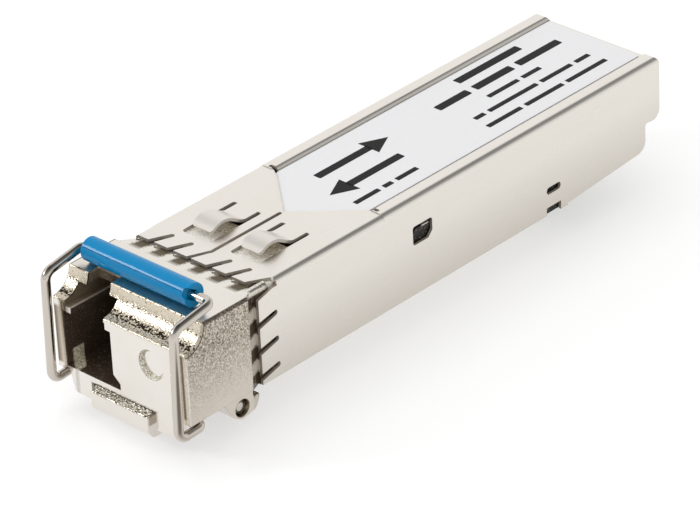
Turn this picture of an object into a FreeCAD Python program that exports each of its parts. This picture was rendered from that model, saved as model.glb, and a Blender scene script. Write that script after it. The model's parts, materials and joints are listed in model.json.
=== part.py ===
import FreeCAD, Part
import math
import os

# Bidirectional SFP transceiver: die-cast base, folded cover, wire bail with latch lever, optics and board.
# Millimetres. +X is to the right when looking into the port, +Y runs from the port to the card edge, +Z up.
# The origin is on the underside, in the middle of the width, at the tips of the cover's spring fingers.

V = FreeCAD.Vector

# Cover: one folded sheet over the top and both sides
SHEET = 0.25
COVER_HALF = 6.7
COVER_TOP = 8.5
COVER_LOW = 0.05
COVER_REAR = 47.3
SKIRT_REAR = 45.45
BEND_R = 0.55
FINGER_LENGTH = 1.95
FINGER_SLOT = (0.46, 0.66)
TOP_FINGER_TIP = 0.2
TOP_SLOT_PITCH = 2.07
TOP_SLOT_SHIFT = 0.1
TOP_SLOT_LEAN = 0.45
SIDE_SLOT_PITCH = 2.285
SIDE_SLOT_TOP = 5.72
SIDE_SLOT_LEAN = 0.22
CENTRE_SLOT = 0.35
CENTRE_SLOT_END = 9.6
TONGUE_X = (1.5, 3.67)
TONGUE_WINDOW = (2.75, 8.55)
TONGUE_SLIT = 0.42
TONGUE_TIP = 3.4
RECESS_DEPTH = 0.25
RIDGE_RISE = 0.06
RECESS_HALF = 5.05
RECESS_APEX = 9.7
RECESS_SHOULDER = 14.1
LABEL_THICK = 0.08

# Base casting: nose in front of the cage, neck that tapers in under the fingers, tray inside the cover
NOSE_HALF = 7.15
NOSE_FRONT = -8.3
NOSE_BACK = -1.5
NOSE_LOW = 0.45
NOSE_TOP = 8.65
COVE_R = 1.9
CAST_EDGE_R = 0.15
CHIN_HALF = 5.8
CHIN_LOW = -1.2
CHIN_BACK = -5.0
TRAY_HALF = 6.4
TRAY_REAR = 36.2
FLOOR = 1.0
WALL = 0.75
BULKHEAD = (0.0, 1.4)
NECK_FRONT = (6.8, 8.6)
NECK_REAR = (6.2, 8.3)
BULKHEAD_TOP = 8.15
POST_X = (5.84, 6.5)
POST_REAR = 1.25
RIB_X = (5.4, 5.62)
RIB_REAR = 0.45
SHELF = (7.5, 8.2)
SHELF_REAR = 6.4

# Optical port: an LC plug enters along +Y, its latch rides in the slot above
PORT_X = -3.6
PORT_Z = 3.2
PORT_LEFT = -6.1
PORT_RIGHT = -0.95
PORT_LOW = 0.9
PORT_HIGH = 5.8
PORT_BACK = -0.8
RAIL_HIGH = 6.3
LATCH_HIGH = 7.7

# Bail: round wire that turns in the chin, with a plastic sleeve on its cross bar
WIRE_R = 0.39
BAIL_HALF = 6.85
BAIL_PIVOT = (-6.7, -0.15)
LEG_FOOT = (-9.3, -0.3)
LEG_TOP = (-9.05, 9.1)
BAR = (-5.0, 9.75)
CRANK_R = 0.33
CRANK_THROW = 0.4
SLEEVE_R = 1.0
SLEEVE_X = (-6.15, 5.15)
SLEEVE_GROOVE_DEG = 32.0
SLEEVE_NOTCH = 0.45

# Latch lever: rocker on a pin between two lugs, with a catch that drops into the cage
LEVER_PIVOT = (-2.8, -0.45)
LEVER_HALF = 3.05
LEVER_FRONT = -8.85
HUB_R = 0.7
HUB_HALF = 5.3
ARM_HALF = 1.5
PIN_R = 0.45
CATCH_FRONT = 2.3
CATCH_DROP = 0.45
LUG_INNER = 5.7

# Optics: receptacle, block with two cans at right angles, flexible circuits
BARREL_R = 1.45
BARREL_FRONT = -3.9
FERRULE_BORE_R = 0.63
SLEEVE_OUTER_R = 0.81
SLEEVE_SPAN = (-3.15, 2.65)
STUB_R = 0.62
STUB_FRONT = -0.2
MOUTH_R = 0.74
BLOCK_Y = (6.0, 11.6)
BLOCK_HALF = 2.3
FILTER_Y = 8.2
CAN_PIN_R = 0.2
CAN_PIN_CIRCLE = 0.9
FLEX = 0.12

# Circuit board: 1 mm thick, with a card edge of ten contacts a side
BOARD_LOW = 2.25
BOARD_THICK = 1.0
BOARD_FRONT = 15.8
BOARD_REAR = 44.1
BOARD_HALF = 5.9
EDGE_HALF = 4.6
CONTACT_PITCH = 0.8
CONTACT_COUNT = 10
BOARD_TOP = BOARD_LOW + BOARD_THICK

AXES = {"x": V(1, 0, 0), "y": V(0, 1, 0), "z": V(0, 0, 1)}


def on_plane(plane, a, b):
    """The point (a, b) on the plane through the origin square to the named axis."""
    if plane == "x":
        return V(0, a, b)
    if plane == "y":
        return V(a, 0, b)
    return V(a, b, 0)


def rounded_edges(corners, closed):
    """Straight edges between (point, radius) corners, with a tangent arc where the radius isn't 0."""
    arrive = []
    leave = []
    arcs = []
    last = len(corners) - 1
    for i, (point, radius) in enumerate(corners):
        if radius == 0 or (not closed and i in (0, last)):
            arrive.append(point)
            leave.append(point)
            arcs.append(None)
            continue
        before = (corners[i - 1][0] - point).normalize()
        after = (corners[(i + 1) % len(corners)][0] - point).normalize()
        half = before.getAngle(after) / 2
        middle = (before + after).normalize() * (radius / math.sin(half) - radius)
        arrive.append(point + before * (radius / math.tan(half)))
        leave.append(point + after * (radius / math.tan(half)))
        arcs.append(point + middle)
    edges = []
    for i, middle in enumerate(arcs):
        if middle is not None:
            edges.append(Part.Arc(arrive[i], middle, leave[i]).toShape())
        following = (i + 1) % len(corners)
        if (closed or i < last) and (arrive[following] - leave[i]).Length > 1e-6:
            edges.append(Part.LineSegment(leave[i], arrive[following]).toShape())
    return edges


def prism(plane, outline, low, high):
    """An outline of (a, b) or (a, b, corner radius) points, extruded along the axis square to its plane."""
    corners = [(on_plane(plane, p[0], p[1]), p[2] if len(p) > 2 else 0) for p in outline]
    face = Part.Face(Part.Wire(rounded_edges(corners, True)))
    face.translate(AXES[plane] * low)
    return face.extrude(AXES[plane] * (high - low))


def box(x, y, z):
    """A block between the low and high ends given for each axis."""
    return Part.makeBox(x[1] - x[0], y[1] - y[0], z[1] - z[0], V(x[0], y[0], z[0]))


def rod(axis, a, b, radius, low, high):
    """A round bar along an axis, centred at (a, b) on the plane square to it."""
    start = on_plane(axis, a, b) + AXES[axis] * low
    return Part.makeCylinder(radius, high - low, start, AXES[axis])


def band(plane, path, thickness, low, high):
    """A strip of even thickness that follows a path of (a, b, bend radius) points."""
    half = thickness / 2
    sides = {1: [], -1: []}
    for i, (a, b, radius) in enumerate(path):
        normals = []
        for first, second in ((i - 1, i), (i, i + 1)):
            if first >= 0 and second < len(path):
                da = path[second][0] - path[first][0]
                db = path[second][1] - path[first][1]
                normals.append(V(-db, da, 0).normalize())
        miter = (normals[0] + normals[-1]).normalize()
        reach = half / miter.dot(normals[0])
        turn = normals[0].cross(normals[-1]).z
        for side in (1, -1):
            bend = 0
            if radius:
                bend = radius - side * half * (1 if turn > 0 else -1)
            sides[side].append((a + side * reach * miter.x, b + side * reach * miter.y, bend))
    return prism(plane, sides[1] + sides[-1][::-1], low, high)


def mirrored(shape):
    """The shape's twin on the other side of the middle plane."""
    return shape.mirror(V(0, 0, 0), V(1, 0, 0))


def both_sides(shape):
    return [shape, mirrored(shape)]


def slanted_slot(plane, end, lean, widths):
    """A slot from its rounded closed end out past the finger tips, leaning sideways and widening."""
    length = math.hypot(1, lean)
    along = (-1 / length, -lean / length)
    across = (-along[1], along[0])
    reach = FINGER_LENGTH + 1.25
    corners = []
    for side, distance, width in ((1, 0, widths[0]), (1, reach, widths[1]), (-1, reach, widths[1]),
                                  (-1, 0, widths[0])):
        half = side * width / 2
        radius = 0 if distance else width * 0.45
        y = end[0] + along[0] * distance + across[0] * half
        other = end[1] + along[1] * distance + across[1] * half
        corners.append((y, other, radius) if plane == "x" else (other, y, radius))
    return corners


def cover_section(recessed):
    """Half of the cover's section across the width, from the skirt up to the middle plane."""
    inner = COVER_HALF - SHEET
    top = COVER_TOP
    under = COVER_TOP - SHEET
    outer_line = [(0, top)]
    inner_line = [(inner, under, BEND_R - SHEET), (0, under)]
    if recessed:
        floor = top - RECESS_DEPTH
        top += RIDGE_RISE
        under += RIDGE_RISE
        step = RECESS_HALF + RECESS_DEPTH
        outer_line = [(0, floor), (RECESS_HALF, floor, 0.2), (step, top, 0.3)]
        inner_line = [(inner, under, BEND_R - SHEET), (step + 0.1, under, 0.1)]
        inner_line += [(RECESS_HALF - 0.05, floor - SHEET, 0.2), (0, floor - SHEET)]
    edge = [(COVER_HALF, top, BEND_R), (COVER_HALF, -0.1), (inner, -0.1)]
    return outer_line + edge + inner_line


def spring_tongue():
    """Lanced tongue on the cover's top: fixed at the rear, arched, with a free rounded tip in front."""
    middle = COVER_TOP - SHEET / 2
    path = [(TONGUE_WINDOW[1] + 0.15, middle, 0), (6.9, middle, 1.5), (4.77, middle + 1.23, 1.8),
            (TONGUE_TIP + 0.12, middle + 0.42, 0)]
    arch = band("x", path, SHEET, TONGUE_X[0], TONGUE_X[1])
    rear = TONGUE_WINDOW[1] + 1
    plan = [(TONGUE_X[0], TONGUE_TIP, 0.45), (TONGUE_X[1], TONGUE_TIP, 0.45), (TONGUE_X[1], rear),
            (TONGUE_X[0], rear)]
    return arch.common(prism("z", plan, COVER_TOP - 1, COVER_TOP + 2))


def finger_slots():
    """Slots that part the cover's front edge into spring fingers, on the top and down both sides."""
    low, high = COVER_TOP - 1, COVER_TOP + 1
    cuts = [box((-6.25, 6.25), (-1, TOP_FINGER_TIP), (COVER_TOP - 0.4, high))]
    for k in range(-2, 3):
        end = (FINGER_LENGTH, k * TOP_SLOT_PITCH + (TOP_SLOT_SHIFT if k else 0))
        widths = FINGER_SLOT if k else (CENTRE_SLOT, CENTRE_SLOT + 0.1)
        cuts.append(prism("z", slanted_slot("z", end, TOP_SLOT_LEAN, widths), low, high))
    half = CENTRE_SLOT / 2
    slot = [(-half, FINGER_LENGTH - 0.2), (half, FINGER_LENGTH - 0.2), (half, CENTRE_SLOT_END, 0.15),
            (-half, CENTRE_SLOT_END, 0.15)]
    cuts.append(prism("z", slot, low, high))
    for k in range(3):
        end = (FINGER_LENGTH, SIDE_SLOT_TOP - k * SIDE_SLOT_PITCH)
        outline = slanted_slot("x", end, SIDE_SLOT_LEAN, FINGER_SLOT)
        cuts += both_sides(prism("x", outline, COVER_HALF - 1, COVER_HALF + 1))
    side_corner = [(-1, 7.2), (1.95, 8.0, 0.3), (2.15, 8.9), (-1, 8.9)]
    cuts += both_sides(prism("x", side_corner, COVER_HALF - 0.4, COVER_HALF + 1))
    top_corner = [(4.85, -0.3), (6.15, 1.9, 0.35), (7, 2.15), (7, -0.3)]
    cuts.append(prism("z", top_corner, 7.9, high))
    left_corner = [(-6.3, -0.3), (-6.3, 1.9, 0.1), (-7, 2.0), (-7, -0.3)]
    cuts.append(prism("z", left_corner, 7.9, high))
    return cuts


def side_cuts():
    """Snap window and locking slot in one side of the cover."""
    window = [(17.2, 4.43, 0.25), (18.95, 4.43, 0.1), (19.45, 4.95, 0.1), (19.45, 6.1, 0.25),
              (17.2, 6.1, 0.25)]
    slot = [(33.05, 1.92, 0.3), (34.75, 1.92, 0.3), (34.75, 2.56, 0.3), (33.05, 2.56, 0.3)]
    return [prism("x", outline, COVER_HALF - 1, COVER_HALF + 1) for outline in (window, slot)]


def top_cover():
    flat = prism("y", cover_section(False), 0, RECESS_SHOULDER)
    valley = [(0, RECESS_APEX), (RECESS_HALF, RECESS_SHOULDER), (RECESS_HALF, RECESS_SHOULDER + 1),
              (-RECESS_HALF, RECESS_SHOULDER + 1), (-RECESS_HALF, RECESS_SHOULDER)]
    floor = COVER_TOP - RECESS_DEPTH
    under = [(0, RECESS_APEX - SHEET), (RECESS_HALF + SHEET, RECESS_SHOULDER - 0.1),
             (RECESS_HALF - 0.1, RECESS_SHOULDER + 0.6), (0.1 - RECESS_HALF, RECESS_SHOULDER + 0.6),
             (-RECESS_HALF - SHEET, RECESS_SHOULDER - 0.1)]
    front = flat.fuse(mirrored(flat)).cut(prism("z", valley, floor, COVER_TOP + 1))
    front = front.cut(prism("z", valley, COVER_TOP - 1, floor))
    rear = prism("y", cover_section(True), RECESS_SHOULDER, COVER_REAR)
    ramp = prism("z", under, floor - SHEET, floor)
    shell = front.multiFuse([rear, mirrored(rear), ramp])
    side = [(0, COVER_LOW), (33, COVER_LOW), (33, 0.75), (34.75, 0.75), (34.75, -0.05), (35.6, -0.05),
            (35.6, 0.12), (SKIRT_REAR, 0.77, 1.0), (SKIRT_REAR, 3.2, 0.3), (COVER_REAR, 2.95, 0.9),
            (COVER_REAR, COVER_TOP + 0.15, 0.5), (0, COVER_TOP + 0.15)]
    shell = shell.common(prism("x", side, -8, 8))
    relief = [(RECESS_HALF - 0.15, 14.2), (5.85, 14.2, 0.15), (5.85, 14.55, 0.15),
              (RECESS_HALF - 0.15, 14.55)]
    cuts = finger_slots() + both_sides(prism("z", relief, COVER_TOP - 1, COVER_TOP + 1))
    for cut in side_cuts():
        cuts += both_sides(cut)
    slit_low, slit_high = TONGUE_X[0] - TONGUE_SLIT, TONGUE_X[1] + TONGUE_SLIT
    window_front, window_rear = TONGUE_WINDOW
    window = [(slit_low, window_front, 0.3), (slit_high, window_front, 0.3),
              (slit_high, window_rear, 0.2), (slit_low, window_rear, 0.2)]
    cuts += both_sides(prism("z", window, COVER_TOP - 1, COVER_TOP + 1))
    return shell.cut(cuts).multiFuse(both_sides(spring_tongue())).removeSplitter()


def cover_label():
    """White label that fills the recess, pointed in front like the recess."""
    edge = RECESS_HALF - 0.15
    outline = [(0, RECESS_APEX + 0.25), (edge, RECESS_SHOULDER + 0.1), (edge, COVER_REAR - 0.3, 0.3),
               (-edge, COVER_REAR - 0.3, 0.3), (-edge, RECESS_SHOULDER + 0.1)]
    floor = COVER_TOP - RECESS_DEPTH
    return prism("z", outline, floor, floor + LABEL_THICK)


def nose_block():
    """Front of the casting: block with a coved upper edge, chin below and two pivot lugs."""
    block = box((-NOSE_HALF, NOSE_HALF), (NOSE_FRONT, NOSE_BACK), (NOSE_LOW, NOSE_TOP))
    block = block.cut(rod("x", NOSE_FRONT, NOSE_TOP, COVE_R, -8, 8))
    outer = [edge for edge in block.Edges if edge.BoundBox.YMin < NOSE_BACK - 0.1]
    block = block.makeFillet(CAST_EDGE_R, outer)
    chin = [(-CHIN_HALF, NOSE_LOW + 0.2), (0.4 - CHIN_HALF, CHIN_LOW, 0.4),
            (CHIN_HALF - 0.4, CHIN_LOW, 0.4), (CHIN_HALF, NOSE_LOW + 0.2)]
    lug = [(-4.6, NOSE_LOW + 0.1), (-3.85, -0.85, 0.5), (-2.9, -1.45, 0.8), (-1.3, -1.15, 0.8),
           (-0.95, -0.3, 0.3), (-0.95, 0.0), (NOSE_BACK - 0.1, 0.0), (NOSE_BACK - 0.1, NOSE_LOW + 0.1)]
    lugs = both_sides(prism("x", lug, LUG_INNER, NOSE_HALF))
    return block.multiFuse([prism("y", chin, NOSE_FRONT, CHIN_BACK)] + lugs)


def neck():
    """Tapered neck between nose and bulkhead, and the corner that shows in the cover's open corner."""
    front, rear = NOSE_BACK - 0.1, BULKHEAD[0]
    side = prism("x", [(front, 0), (front, NECK_FRONT[1]), (rear, NECK_REAR[1]), (rear, 0)], -8, 8)
    plan = [(-NECK_FRONT[0], front), (NECK_FRONT[0], front), (NECK_REAR[0], rear), (-NECK_REAR[0], rear)]
    low, high = SHELF[0] - 0.1, COVER_TOP - 0.05
    left, right = POST_X
    section = [(left, low), (left, high, 0.2), (right, high, 0.3), (right, high - 0.47),
               (right - 0.15, high - 0.55), (right - 0.15, low)]
    post_plan = [(left, front), (right, front), (right, POST_REAR, 0.3), (left, POST_REAR, 0.3)]
    post = prism("y", section, front, POST_REAR).common(prism("z", post_plan, low, high))
    crest = high - 0.05
    rib_section = [(RIB_X[0], low), (RIB_X[0], crest, 0.08), (RIB_X[1], crest, 0.08), (RIB_X[1], low)]
    rib = prism("y", rib_section, front, RIB_REAR)
    return [side.common(prism("z", plan, 0, 9)), post, rib]


def tray():
    """Rear of the casting: bulkhead, shelf, floor, side walls, catch hump, clamp posts and snap ears."""
    bulkhead = box((-TRAY_HALF, TRAY_HALF), BULKHEAD, (0, BULKHEAD_TOP))
    shelf = box((0.1 - TRAY_HALF, TRAY_HALF - 0.1), (BULKHEAD[1] - 0.1, SHELF_REAR), SHELF)
    floor = box((-TRAY_HALF, TRAY_HALF), (0, TRAY_REAR), (0, FLOOR))
    hump = box((-2.1, 2.1), (PORT_BACK, 6.0), (0, 2.05))
    wall = box((TRAY_HALF - WALL, TRAY_HALF), (0, TRAY_REAR), (0, BOARD_LOW))
    ear = box((TRAY_HALF - WALL, TRAY_HALF), (16.2, 20.4), (0, 6.6))
    snap = [(TRAY_HALF - 0.1, 6.0), (TRAY_HALF + 0.28, 5.85), (TRAY_HALF + 0.05, 5.0), (TRAY_HALF - 0.1, 5.0)]
    catch = prism("y", snap, 17.45, 19.2)
    pieces = neck() + [bulkhead, shelf, floor, hump]
    for piece in (wall, ear, catch):
        pieces += both_sides(piece)
    for x in ((-TRAY_HALF, -5.75), (-0.75, -0.15)):
        pieces.append(box(x, (3.05, 3.8), (FLOOR / 2, SHELF[0] + 0.1)))
    return pieces


def port_cavity():
    """Space for the plug: body, side rails, latch space and the slot open to the top."""
    body = [(PORT_LEFT, PORT_LOW), (-0.25, PORT_LOW), (-0.25, 1.45), (PORT_RIGHT, 2.05),
            (PORT_RIGHT, PORT_HIGH), (PORT_LEFT, PORT_HIGH)]
    front = NOSE_FRONT - 1
    return [prism("y", body, front, PORT_BACK),
            box((-5.2, -1.5), (front, -2.0), (PORT_HIGH - 0.1, RAIL_HIGH + 0.1)),
            box((-5.85, -1.6), (front, -2.0), (RAIL_HIGH, LATCH_HIGH)),
            box((-5.0, -2.5), (front, -5.2), (LATCH_HIGH - 0.1, NOSE_TOP + 1)),
            rod("y", PORT_X, PORT_Z, BARREL_R + 0.05, PORT_BACK - 0.1, BULKHEAD[1] + 0.1)]


def lever_room():
    """Space under the nose and in the floor for the latch lever, its pin and the bail's ends."""
    low = -3.0
    channel = [(-2.2, low), (-2.2, 0.4), (-0.9, 0.62), (-0.3, 1.55), (5.6, 1.55), (5.6, low)]
    slot_half = WIRE_R + 0.08
    y, z = BAIL_PIVOT
    cuts = [box((-3.5, 3.5), (NOSE_FRONT - 1, -4.5), (low, 0.4)),
            box((-LUG_INNER + 0.1, LUG_INNER - 0.1), (-4.7, -1.4), (low, 0.4)),
            prism("x", channel, -ARM_HALF - 0.15, ARM_HALF + 0.15),
            rod("x", y, z, slot_half, -NOSE_HALF, NOSE_HALF),
            box((-NOSE_HALF, NOSE_HALF), (y - slot_half, y + slot_half), (low, z)),
            rod("x", LEVER_PIVOT[0], LEVER_PIVOT[1], PIN_R + 0.005, -8, 8)]
    sink = Part.makeCone(PIN_R + 0.1, 0.78, 0.5, V(NOSE_HALF - 0.45, *LEVER_PIVOT), V(1, 0, 0))
    return cuts + both_sides(sink)


def base_housing():
    solid = nose_block().multiFuse(tray())
    core = box((0.8, 5.9), (-7.0, BULKHEAD[1] + 0.1), (1.4, 6.8))
    dimple = Part.makeCone(1.3, 1.05, 0.35, V(3.3, NOSE_FRONT, 4.5), V(0, 1, 0))
    optics_bay = box((-6.0, 0.4), (5.9, 13.0), (0.8, BOARD_LOW + 0.1))
    return solid.cut(port_cavity() + lever_room() + [core, dimple, optics_bay]).removeSplitter()


def bail_wire():
    """One bent wire: crank ends in the chin, legs in front of the nose, cross bar above it."""
    y, z = BAIL_PIVOT
    half = [(V(3.2, y, z), 0), (V(BAIL_HALF, y, z), 0.6), (V(BAIL_HALF, *LEG_FOOT), 0.8),
            (V(BAIL_HALF, *LEG_TOP), 0.8), (V(BAIL_HALF, *BAR), 0.6)]
    other = [(V(-point.x, point.y, point.z), radius) for point, radius in reversed(half)]
    path = Part.Wire(rounded_edges(half + other, False))
    section = Part.Wire(Part.Circle(half[0][0], V(1, 0, 0), WIRE_R).toShape())
    wire = path.makePipeShell([section], True, False)
    cranks = both_sides(rod("x", y - CRANK_THROW, z, CRANK_R, 1.9, 3.4))
    return wire.multiFuse(cranks)


def bail_sleeve():
    """Moulded sleeve, grooved along its length and notched at one end where the wire comes out."""
    tube = rod("x", BAR[0], BAR[1], SLEEVE_R, SLEEVE_X[0], SLEEVE_X[1])
    tube = tube.makeFillet(0.12, [edge for edge in tube.Edges if edge.Closed])
    tube = tube.cut(rod("x", BAR[0], BAR[1], WIRE_R + 0.015, -8, 8))
    groove = box((-8, 8), (-0.06, 0.06), (SLEEVE_R - 0.1, SLEEVE_R + 1))
    notch_end = SLEEVE_X[1] - SLEEVE_NOTCH
    notch = prism("z", [(notch_end, -0.42, 0.35), (8, -0.5), (8, 0.5), (notch_end, 0.42, 0.35)], 0, 2)
    for cut in (groove, notch):
        cut.rotate(V(0, 0, 0), V(1, 0, 0), 90 - SLEEVE_GROOVE_DEG)
        cut.translate(V(0, *BAR))
        tube = tube.cut(cut)
    return tube


def latch_lever():
    """Rocker: front block pressed down by the bail, hub on the pin, rear arm with the catch."""
    py, pz = LEVER_PIVOT
    block = [(LEVER_FRONT, -1.3, 0.2), (LEVER_FRONT, 0.02, 0.08), (-8.3, 0.34, 0.08), (-4.9, 0.34),
             (-4.9, -1.2), (-5.6, -2.0, 0.4), (-8.35, -2.0, 0.4)]
    web = [(-5.2, 0.0), (py, 0.1), (py, -1.0), (-5.2, -1.15)]
    arm = [(py, -0.95), (py, 0.2), (-0.5, 0.34), (0.0, 0.62), (5.3, 0.62, 0.2), (5.3, 0.1), (-0.9, 0.1)]
    catch = [(CATCH_FRONT, 0.3), (CATCH_FRONT, -CATCH_DROP, 0.1), (2.75, -CATCH_DROP, 0.1),
             (4.9, 0.12), (4.9, 0.3)]
    body = prism("x", block, -LEVER_HALF, LEVER_HALF).multiFuse([
        prism("x", web, 0.4 - LEVER_HALF, LEVER_HALF - 0.4),
        rod("x", py, pz, HUB_R, -HUB_HALF, HUB_HALF),
        prism("x", arm, -ARM_HALF, ARM_HALF),
        prism("x", catch, -1.2, 1.2)])
    cradle = [(-7.65, 1), (-7.65, -0.75, 0.2), (-6.15, -0.75, 0.2), (-6.15, 1)]
    cuts = both_sides(prism("x", cradle, 1.7, LEVER_HALF + 1))
    cuts.append(rod("x", py, pz, PIN_R + 0.03, -8, 8))
    return body.cut(cuts).removeSplitter()


def lever_pin():
    half = NOSE_HALF - 0.3
    pin = rod("x", LEVER_PIVOT[0], LEVER_PIVOT[1], PIN_R, -half, half)
    return pin.makeChamfer(0.1, [edge for edge in pin.Edges if edge.Closed])


def latch_spring():
    """Leaf spring held under the channel's roof, its free end on the lever's rear arm."""
    return band("x", [(-0.1, 1.48, 0), (1.0, 1.48, 1.5), (4.3, 0.72, 0.5), (5.0, 0.85, 0)], 0.12, -1.1, 1.1)


def lc_receptacle():
    """Turned barrel that a ferrule enters, with a flange against the bulkhead and a rear neck."""
    barrel = rod("y", PORT_X, PORT_Z, BARREL_R, BARREL_FRONT, 2.0)
    rim = [edge for edge in barrel.Edges if edge.Closed and edge.BoundBox.YMax < 0]
    barrel = barrel.makeChamfer(0.15, rim)
    flange = rod("y", PORT_X, PORT_Z, 1.85, 1.7, 2.2)
    neck = rod("y", PORT_X, PORT_Z, 1.5, 2.0, 6.6)
    mouth = Part.makeCone(0.95, MOUTH_R, 0.3, V(PORT_X, BARREL_FRONT, PORT_Z), V(0, 1, 0))
    bores = [mouth, rod("y", PORT_X, PORT_Z, MOUTH_R, BARREL_FRONT, 0),
             rod("y", PORT_X, PORT_Z, SLEEVE_OUTER_R + 0.005, SLEEVE_SPAN[0] - 0.05, SLEEVE_SPAN[1] + 0.05),
             rod("y", PORT_X, PORT_Z, STUB_R + 0.002, 2.0, 7)]
    return barrel.multiFuse([flange, neck]).cut(bores)


def alignment_sleeve():
    """Ceramic sleeve with a slit along it; the ferrule slides in front, the rear tapers to grip the stub."""
    tube = rod("y", PORT_X, PORT_Z, SLEEVE_OUTER_R, SLEEVE_SPAN[0], SLEEVE_SPAN[1])
    slit = box((PORT_X - 0.1, PORT_X + 0.1), (-4, 4), (PORT_Z, PORT_Z + 2))
    start = V(PORT_X, STUB_FRONT, PORT_Z)
    grip = Part.makeCone(FERRULE_BORE_R, STUB_R + 0.002, SLEEVE_SPAN[1] - STUB_FRONT, start, V(0, 1, 0))
    return tube.cut([rod("y", PORT_X, PORT_Z, FERRULE_BORE_R, -4, STUB_FRONT), grip, slit])


def fibre_stub():
    return rod("y", PORT_X, PORT_Z, STUB_R, STUB_FRONT, 5.6)


def receptacle_gasket():
    ring = rod("y", PORT_X, PORT_Z, 1.85, BULKHEAD[1], 1.7)
    return ring.cut(rod("y", PORT_X, PORT_Z, BARREL_R + 0.03, 1, 2))


def optics_block():
    """Machined block with a bore along the fibre's axis and a cross bore to the receiving can."""
    block = box((PORT_X - BLOCK_HALF, PORT_X + BLOCK_HALF), BLOCK_Y,
                (PORT_Z - BLOCK_HALF, PORT_Z + BLOCK_HALF))
    bores = [rod("y", PORT_X, PORT_Z, 1.52, BLOCK_Y[0] - 1, 6.65),
             rod("y", PORT_X, PORT_Z, 1.2, BLOCK_Y[0], BLOCK_Y[1] + 1),
             rod("y", PORT_X, PORT_Z, 1.8, 10.1, BLOCK_Y[1] + 1),
             rod("x", FILTER_Y, PORT_Z, 1.05, PORT_X, 0),
             rod("x", FILTER_Y, PORT_Z, 1.55, -2.3, 0)]
    return block.cut(bores)


def wavelength_filter():
    """Thin glass plate across the bore at 45 degrees, which turns one wavelength to the side."""
    plate = box((-3, 3), (-0.15, 0.15), (-3, 3))
    plate.rotate(V(0, 0, 0), V(0, 0, 1), 45)
    plate.translate(V(PORT_X, FILTER_Y, PORT_Z))
    return plate.common(rod("y", PORT_X, PORT_Z, 1.2, 6.7, 10))


def can(axis, a, b, cap_r, cap, flange_r, flange):
    """Metal can: narrow cap inside the block, wide flange welded against its face."""
    return rod(axis, a, b, cap_r, cap, flange[0] + 0.2).fuse(rod(axis, a, b, flange_r, flange[0], flange[1]))


def can_pins(axis, a, b, count, start, end):
    """Leads on a circle, as one group of separate pins."""
    pins = []
    for k in range(count):
        angle = 2 * math.pi * (k + 0.5) / count
        pins.append(rod(axis, a + CAN_PIN_CIRCLE * math.cos(angle), b + CAN_PIN_CIRCLE * math.sin(angle),
                        CAN_PIN_R, start, end))
    return pins


LASER_FLANGE = (BLOCK_Y[1], 12.6)
LASER_PINS = can_pins("y", PORT_X, PORT_Z, 4, LASER_FLANGE[1], 14.2)
DIODE_FLANGE = (PORT_X + BLOCK_HALF, PORT_X + BLOCK_HALF + 1.1)
DIODE_PINS = can_pins("x", FILTER_Y, PORT_Z, 5, DIODE_FLANGE[1], 1.5)


def laser_flex():
    """Flexible circuit: soldered round the laser's leads, then bent down onto the board."""
    on_board = BOARD_TOP + FLEX / 2
    path = [(13.46, 1.6, 0), (13.46, 5.0, 0.5), (16.0, on_board, 0.8), (17.8, on_board, 0)]
    strip = band("x", path, FLEX, PORT_X - 1.6, PORT_X + 1.6)
    return strip.cut(can_pins("y", PORT_X, PORT_Z, 4, 13, 14))


def photodiode_flex():
    """Flexible circuit on the receiving can's leads, folded along the board's edge onto its top."""
    x = (0.9, 0.9 + FLEX)
    pad = prism("x", [(6.7, 1.7, 0.4), (9.7, 1.7, 0.4), (9.7, 3.6, 0.2), (16.2, 3.6, 0.1), (16.2, BOARD_TOP),
                      (17.6, BOARD_TOP), (17.6, 4.7, 0.4), (6.7, 4.7, 0.4)], x[0], x[1])
    foot = box((x[0], 2.3), (16.2, 17.6), (BOARD_TOP, BOARD_TOP + FLEX))
    return pad.fuse(foot).cut(can_pins("x", FILTER_Y, PORT_Z, 5, 0.5, 1.4)).removeSplitter()


def optics_clamp():
    """Stamped plate that straddles the neck and presses the flange against the bulkhead."""
    notch = 1.55
    outline = [(-6.2, 2.3), (PORT_X - notch, 2.3), (PORT_X - notch, PORT_Z + notch, 1.5),
               (PORT_X + notch, PORT_Z + notch, 1.5), (PORT_X + notch, 2.3), (-0.4, 2.3),
               (-0.4, 7.3, 0.4), (-6.2, 7.3, 0.4)]
    return prism("y", outline, 2.2, 3.0)


def circuit_board():
    """Board with clearance for the snap ears, narrowed to the card edge at the rear."""
    half = [(5.3, BOARD_FRONT), (5.3, 21.0), (BOARD_HALF, 21.0), (BOARD_HALF, 35.4, 0.3),
            (EDGE_HALF, 36.4, 0.3), (EDGE_HALF, BOARD_REAR - 0.4), (EDGE_HALF - 0.4, BOARD_REAR)]
    outline = half + [(-p[0],) + p[1:] for p in reversed(half)]
    board = prism("z", outline, BOARD_LOW, BOARD_TOP)
    bevel = [(BOARD_REAR + 0.1, BOARD_TOP + 0.1), (BOARD_REAR + 0.1, BOARD_TOP - 0.35),
             (BOARD_REAR - 0.6, BOARD_TOP + 0.1)]
    lower = [(y, BOARD_LOW + BOARD_TOP - z) for y, z in bevel]
    return board.cut([prism("x", bevel, -8, 8), prism("x", lower, -8, 8)])


def edge_contacts(low, high):
    """Row of plated contacts, the ground ones reaching further back than the signal ones."""
    pads = []
    for k in range(CONTACT_COUNT):
        x = (k - (CONTACT_COUNT - 1) / 2) * CONTACT_PITCH
        rear = BOARD_REAR - (0.65 if k in (0, 4, 9) else 1.05)
        pads.append(box((x - 0.28, x + 0.28), (40.4, rear), (low, high)))
    return Part.makeCompound(pads)


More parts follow.
